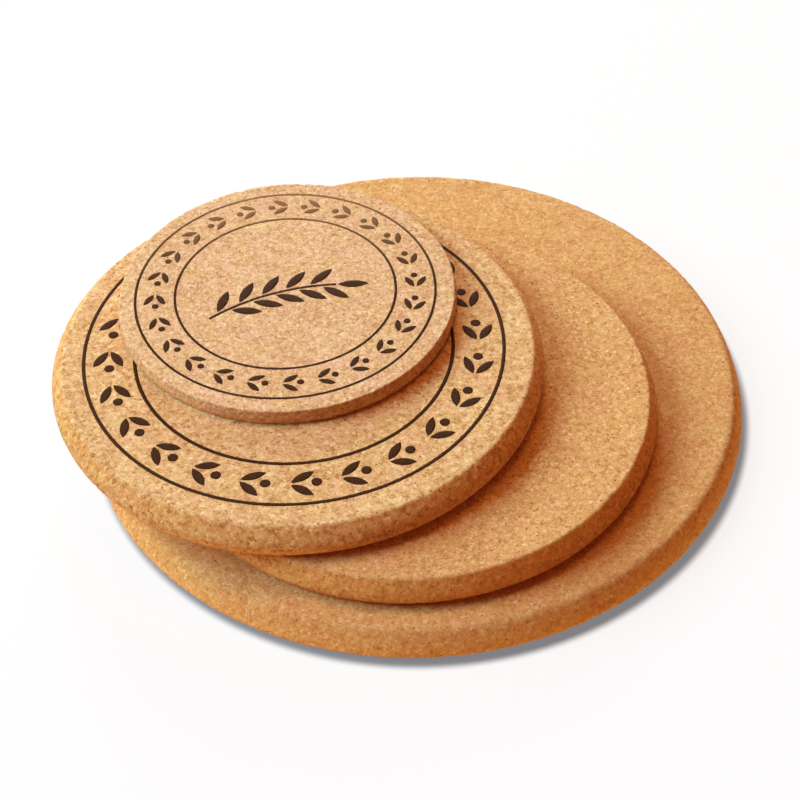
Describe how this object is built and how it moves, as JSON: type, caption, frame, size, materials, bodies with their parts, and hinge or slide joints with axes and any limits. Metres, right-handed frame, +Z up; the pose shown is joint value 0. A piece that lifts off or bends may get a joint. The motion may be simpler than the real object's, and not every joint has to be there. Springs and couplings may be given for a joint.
{
  "type": "cork coaster set",
  "caption": "Fanned stack of loose round cork coasters and trivets in graded sizes, the upper ones printed with ring lines, a leaf border and a sprig; every disc lifts off.",
  "frame": {"origin": "middle of the lowest disc's underside, on the table", "axes": "+Z up through the stack, +Y away from the viewer, +X to the viewer's right"},
  "size_m": [0.2085, 0.2, 0.0352],
  "materials": {
    "amber_cork": "matte pressed cork granules, sanded, warm amber",
    "tan_cork": "matte pressed cork granules, sanded, tan",
    "pale_cork": "matte pressed cork granules, sanded, pale tan",
    "dark_ink": "matte dark screen-printing ink"
  },
  "bodies": {
    "extra_large": {"extra_large_disc": "amber_cork"},
    "large": {"large_disc": "tan_cork"},
    "medium": {"medium_disc": "pale_cork", "medium_outer_line": "dark_ink", "medium_inner_line": "dark_ink", "medium_border_print": "dark_ink", "medium_centre_print": "dark_ink"},
    "small": {"small_disc": "pale_cork", "small_outer_line": "dark_ink", "small_inner_line": "dark_ink", "small_border_print": "dark_ink", "small_centre_print": "dark_ink"}
  },
  "joints": [
    {"name": "large_lift", "type": "slide", "parent": "extra_large", "child": "large", "axis": [0, 0, 1], "range_m": [0, 0.06]},
    {"name": "medium_lift", "type": "slide", "parent": "large", "child": "medium", "axis": [0, 0, 1], "range_m": [0, 0.06]},
    {"name": "small_lift", "type": "slide", "parent": "medium", "child": "small", "axis": [0, 0, 1], "range_m": [0, 0.06]}
  ]
}
